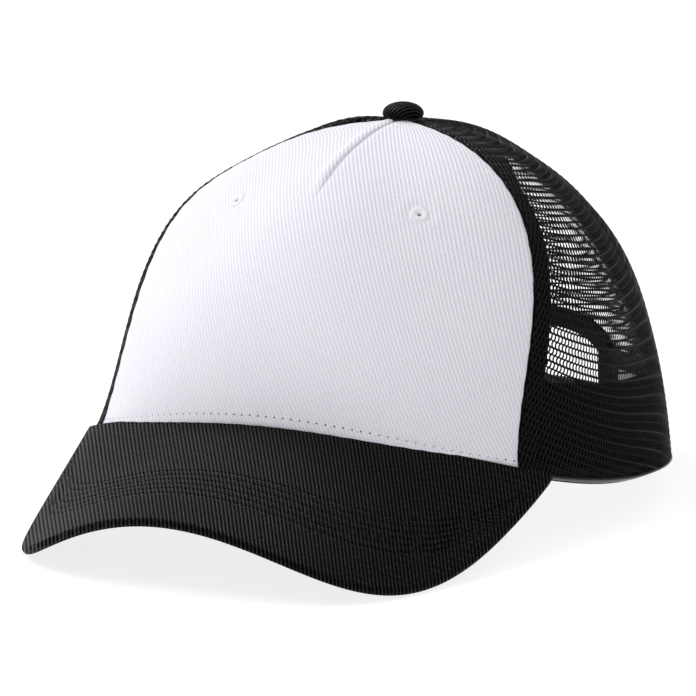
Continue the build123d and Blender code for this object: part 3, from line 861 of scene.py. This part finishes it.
def rim_fold():
    """The net rolled under at the rim and turned up to the sweatband, on each side of the arch."""
    depth = np.array([2.6, 3.2, 3.4, 3.45, 3.4, 2.8, 1.8, 0.9, 0.35, 0.1, 0.2, 0.7, 1.4, 1.7, 1.8, 2.0, 2.6])
    height = np.array([4.6, 4.2, 3.0, 1.2, 0.4, 0.05, 0.02, 0.02, 0.07, 0.3, 0.55, 0.85, 1.3, 2.2, 3.2, 4.2,
                       4.6])
    for side, word in SIDES:
        u = side * np.linspace(seam_angle(FRONT_SEAM, 0.0) + 0.004, NET_END, 200)[:, None]
        grids = []
        for share in (1.0, 0.6):
            h, d = 1.2 + share * (height - 1.2), 2.3 + share * (depth - 2.3)
            grids.append(rest(crown_at(u + 0 * d, t_at_height(u + 0 * h, h + 0 * u), d + 0 * u)))
        piece = shell(f"rim_fold_{word}", grids[0], grids[1], net_yarn)
        keep(piece, "black_mesh")


def arch_binding():
    """Tape folded over the edge of the rear arch, sewn through."""
    s = np.linspace(-0.975, 0.975, 150)[:, None]
    turn = np.linspace(-np.pi / 2, np.pi / 2, 11)
    leaf = np.linspace(BINDING_WIDTH + 0.2, 1.9, 12)

    def section(radius, centre=0.6, start=1.5):
        w = np.concatenate([leaf, start - radius * np.cos(turn)[1:-1], leaf[::-1]])
        fold = centre + radius * np.sin(turn)[1:-1]
        d = np.concatenate([leaf * 0 + centre - radius, fold, leaf * 0 + centre + radius])
        return w[None, :], d[None, :]

    grids = []
    for radius in (1.3, 0.78):
        w, d = section(radius)
        press = 0.14 * bump_at(w, BINDING_ROW, 0.6) * np.sign(d - 0.6)
        x, z = arch_point(s + 0 * w, w + 0 * s)
        grids.append(rest(back_at(x, z, d - press + 0 * s)))
    piece = shell("arch_binding_tape", grids[0], grids[1], tape_twill)
    keep(piece, "binding_tape", "arch_binding")
    declare((grids[0] + grids[1]) / 2)
    rows = []
    for depth, inside in ((-0.72, False), (1.92, True)):
        k = np.linspace(-0.965, 0.965, 200)
        rows.append(path_on(back_at, *arch_point(k, BINDING_ROW), depth, inside))
    sewn("arch_binding_thread", rows, "black_thread", dip=0.25, rise=0.1)


def visor_cloth(name, node, above):
    """One side of the visor's cover, wrapped round the edge of the board."""
    angle = VISOR_SPAN * np.sin(np.linspace(-np.pi / 2, np.pi / 2, 301) * VISOR_PACKING)
    angle = angle[:, None] / math.sin(np.pi / 2 * VISOR_PACKING)
    rows = VISOR_ROWS
    fine = np.linspace(rows[0] - 0.02, rows[-1] + 0.02, 76) if above else np.linspace(0.5, 0.8, 10)
    near = np.linspace(-0.05, fine[0] - 0.01, 28 if above else 16)
    out = np.concatenate([near, fine, np.linspace(fine[-1] + 0.01, 1, 20)])
    length = np.linalg.norm(visor_edge(angle) - visor_root(angle), axis=-1)
    half = np.minimum(VISOR_HALF_THICKNESS, 0.25 * length)
    sign = 1 if above else -1
    tangent = unit(visor_edge(angle + 1e-3) - visor_edge(angle - 1e-3))
    ahead = unit(visor_edge(angle) - visor_root(angle))
    squareness = np.linalg.norm(np.cross(tangent, ahead), axis=-1)
    grids = []
    for thinner in (0.0, CLOTH):
        level = half - thinner
        limit = 1 - half / (length * np.maximum(squareness, 0.4))
        spread = out[None, :] * limit
        base = visor(spread, angle + 0 * spread)
        up = normal_of(visor, spread, angle + 0 * spread)
        groove = sum(bump_at((out[None] - row) * length, 0, 0.4) for row in rows) if above else 0
        puff = bump_at((out[None] - (rows[0] + rows[-1]) / 2) * length, 0, 11.0) if above else 0
        fade = eased((np.radians(68) - np.abs(angle)) / 0.15)
        dashes = (0.5 + 0.5 * np.cos(2 * np.pi * angle * length * 1.6 / STITCH_PITCH)) * fade
        lift = level + (0.06 * puff - 0.42 * groove * dashes if above and thinner == 0 else 0)
        flat = base + up * (sign * lift)[..., None]
        hub, hub_up = base[:, -1:], up[:, -1:]
        outward = unit(np.cross(tangent, hub_up))
        outward = outward * np.sign(np.sum(outward * ahead, -1, keepdims=True))
        curl = np.radians(np.linspace(10, 118, 10) if above else np.linspace(10, 56, 5))[None, :, None]
        wrap = hub + (outward * np.sin(curl) + hub_up * sign * np.cos(curl)) * level[..., None]
        grids.append(rest(np.concatenate([flat, wrap], 1)))
    uv = np.stack([grids[0][..., 0] * 1.08, -grids[0][..., 1] * 1.03], -1)
    piece = shell(name, grids[0], grids[1], black_twill, uv)
    keep(piece, "black_twill", node)
    declare(grids[0])


def visor_thread():
    """Rows of stitches round the top of the visor, one path for each."""
    rows = []
    for row in VISOR_ROWS:
        angle = np.linspace(-ROW_HALF_ANGLE, ROW_HALF_ANGLE, 300)
        spot = row + 0 * angle
        base, up = visor(spot, angle), normal_of(visor, spot, angle)
        rows.append((rest(base + up * (VISOR_HALF_THICKNESS - 0.08)), turned(up)))
    sewn("visor_row_thread", rows, "black_thread", "visor_stitching", dip=0.25, rise=0.12, radius=0.2)


def front_thread():
    """The hem row and the fine row beside each seam of the front panel."""
    brow = seam_angle(FRONT_SEAM, 0.0) - math.radians(3)
    u = np.linspace(-brow, brow, 300)
    row = [path_on(crown_at, u, t_at_height(u, HEM_ROW), 0.05)]
    sewn("front_hem_thread", row, "white_thread", "front_hem_stitching", dip=0.3, rise=0.15)
    for side, word in SIDES:
        v = np.linspace(0.05, 0.9, 200)
        middle = seam_angle(FRONT_SEAM, v)
        u = side * (middle - EDGE_ROW / radius_at(middle, ring_t(middle, v)))
        row = [path_on(crown_at, u, ring_t(u, v), 0.06)]
        sewn(f"front_seam_thread_{word}", row, "white_thread", f"front_seam_stitching_{word}",
             dip=0.25, rise=0.1, radius=0.13)


def eyelets():
    """Air holes ringed with close radial stitches."""
    for side, word in SIDES:
        centre = crown_at(side * EYELET_ANGLE, EYELET_UP, 0.3)
        up = unit(centre - crown_at(side * EYELET_ANGLE, EYELET_UP, 1.3))
        east = unit(np.cross(up, [0.0, 0.0, 1.0]))
        north = np.cross(up, east)
        a = np.linspace(0, 2 * np.pi, 46, endpoint=False)[:, None]
        ray = east * np.cos(a) + north * np.sin(a)
        facing = np.repeat([turned(up)], len(a), 0) / MM
        piece = set_on_points(f"eyelet_thread_{word}", STITCH_TREE, rest(centre + ray * 2.15), turned(ray),
                              facing, white_thread, Stitch_Length=2.7 * MM, Thread_Radius=0.24 * MM,
                              Rise=0.5 * MM, Dip=0.25 * MM)
        keep(piece, "white_thread", f"eyelet_{word}")


def button():
    """Cloth drawn over a dome and gathered under its edge."""
    dome = [(0, 6.0)] + [(6.95 * math.sin(a), 2.1 + 3.9 * math.cos(a)) for a in np.linspace(0.08, 1.57, 22)]
    under = [(6.85, 1.5), (6.6, 0.95), (6.1, 0.5), (5.4, 0.32), (3.5, 0.3), (1.8, 0.3)]
    socket = [(1.65, 0.45), (1.65, 2.9), (0, 2.95)]

    def pleat(angle, height):
        return 0.012 * np.sin(26 * angle + 0.6 * np.sin(3 * angle)) * np.clip((3.0 - height) / 2.2, 0, 1)

    piece = revolved("button_cloth", dome + under + socket, 120, (0, 0, CROWN_HEIGHT), black_twill, pleat)
    keep(piece, "black_twill", "button_cap")


def label():
    """A blank satin label sewn inside the sweatband."""
    h, u = np.linspace(8, 24, 20)[:, None], np.radians(np.linspace(128, 147, 30))[None, :]
    curl = 0.15 * np.sin(u * 30) * np.sin(h * 0.4)
    t = t_at_height(u, h)
    outer, inner = crown_at(u, t, 5.4 + curl), crown_at(u, t, 5.7 + curl)
    piece = shell("blank_label_cloth", rest(outer), rest(inner), satin)
    keep(piece, "label_satin", "blank_label")
    declare(rest(outer))
    rows = []
    for edge in (129.0, 146.0):
        height = np.linspace(8.5, 23.5, 40)
        angle = np.full(40, math.radians(edge))
        rows.append(path_on(crown_at, angle, t_at_height(angle, height), 5.75, inside=True))
    sewn("blank_label_thread", rows, "white_thread", dip=0.2, length=1.5, pitch=2.0)


def strap_bends():
    """Thin plastic web at each strap's sewn end."""
    for side, body, word in ((1, "outer_strap", "hole_strap"), (-1, "inner_strap", "peg_strap")):
        x = side * np.linspace(HINGE_X - 2.4, HINGE_X + 2.4, 17)[:, None]
        z = np.linspace(STRAP_BOTTOM, STRAP_BOTTOM + STRAP_WIDTH, 14)[None, :]
        outer, inner = (rest(back_at(x + 0 * z, z + 0 * x, depth))
                        for depth in (STRAP_DEPTH - 0.06, STRAP_DEPTH + STRAP_THICKNESS + 0.06))
        piece = shell(f"{word}_bend", outer, inner, snap_plastic)
        start, end = (rest(back_at(np.array(side * (HINGE_X + k)), np.array(9.0), 2.6)) for k in (1.6, -1.6))
        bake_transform(piece)


def cad_finishes():
    """Dyes the hard CAD pieces that stay in view."""
    straps = ["hole_strap", "peg_strap", "hole_strap_tab", "peg_strap_tab"]
    for name in ["visor_board", "button_prong"] + straps:
        dye = {"visor_board": board_plastic, "button_prong": steel}.get(name, snap_plastic)
        for material_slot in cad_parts[name].material_slots:
            material_slot.material = dye


# ======== stage ========
VIEW_AZIMUTH, VIEW_ELEVATION, VIEW_ROLL = 28.09, 12.95, 1.59
CAMERA_DISTANCE, CAMERA_TARGET = 1.6477, (-0.0005, -0.0033, 0.0526)
CAMERA_LENS = 257.7


def direction(azimuth, elevation):
    a, e = math.radians(azimuth), math.radians(elevation)
    return Vector((math.sin(a) * math.cos(e), -math.cos(a) * math.cos(e), math.sin(e)))


def aimed(obj, place, target, roll=0.0):
    obj.location = place
    turn = (Vector(target) - Vector(place)).to_track_quat("-Z", "Y").to_matrix()
    obj.rotation_euler = (turn @ Matrix.Rotation(math.radians(roll), 3, "Z")).to_euler()


def camera():
    lens = bpy.data.cameras.new("camera")
    lens.lens, lens.sensor_width, lens.clip_end = CAMERA_LENS, 36.0, 20.0
    obj = in_scene("camera", lens)
    place = Vector(CAMERA_TARGET) + direction(VIEW_AZIMUTH, VIEW_ELEVATION) * CAMERA_DISTANCE
    aimed(obj, place, CAMERA_TARGET, -VIEW_ROLL)
    bpy.context.scene.camera = obj


def lamp(name, azimuth, elevation, distance, size, power):
    data = bpy.data.lights.new(name, "AREA")
    data.shape, data.size, data.energy = "DISK", size, power
    middle = Vector((0, 0, 0.06))
    aimed(in_scene(name, data), middle + direction(azimuth, elevation) * distance, middle)


def studio():
    """A pale floor that glows a little, an even sky, a large key light and a light from behind."""
    mesh = bpy.data.meshes.new("floor")
    reach = 6.0
    corners = [(-reach, -reach, 0), (reach, -reach, 0), (reach, reach, 0), (-reach, reach, 0)]
    mesh.from_pydata(corners, [], [(0, 1, 2, 3)])
    paint = finished("pale_floor_paint", Roughness=0.9, Base_Color=linear("#9c9c9c"),
                     Emission_Color=(1, 1, 1, 1), Emission_Strength=0.82)
    mesh.materials.append(paint[0])
    floor = in_scene("floor", mesh)
    world = bpy.data.worlds.new("studio")
    bpy.context.scene.world = world
    world.use_nodes = True
    sky = world.node_tree.nodes["Background"].inputs
    sky["Color"].default_value, sky["Strength"].default_value = (1, 1, 1, 1), 0.56
    lamp("key_light", -45, 52, 1.6, 0.8, 12.2)
    lamp("rim_light", -120, 40, 1.6, 0.7, 9.5)
    bpy.context.scene.view_settings.view_transform = "Standard"


camera()
studio()
front_panel()
backing()
for side, word in SIDES:
    net("side", side, word, FRONT_SEAM, SIDE_SEAM, SIDE_SLANT)
    net("back", side, word, SIDE_SEAM, BACK_SEAM, BACK_SLANT)
    seam_tape(f"front_tape_{word}", f"front_seam_tape_{word}", FRONT_SEAM, side)
    seam_tape(f"side_tape_{word}", f"side_seam_tape_{word}", SIDE_SEAM, side)
seam_tape("back_tape", "back_seam_tape", BACK_SEAM, 1, 0.205)
rim_fold()
sweatband()
arch_binding()
visor_cloth("visor_cover_top", "visor_top_cloth", True)
visor_cloth("visor_cover_under", "visor_bottom_cloth", False)
visor_thread()
front_thread()
eyelets()
button()
label()
strap_bends()
cad_finishes()
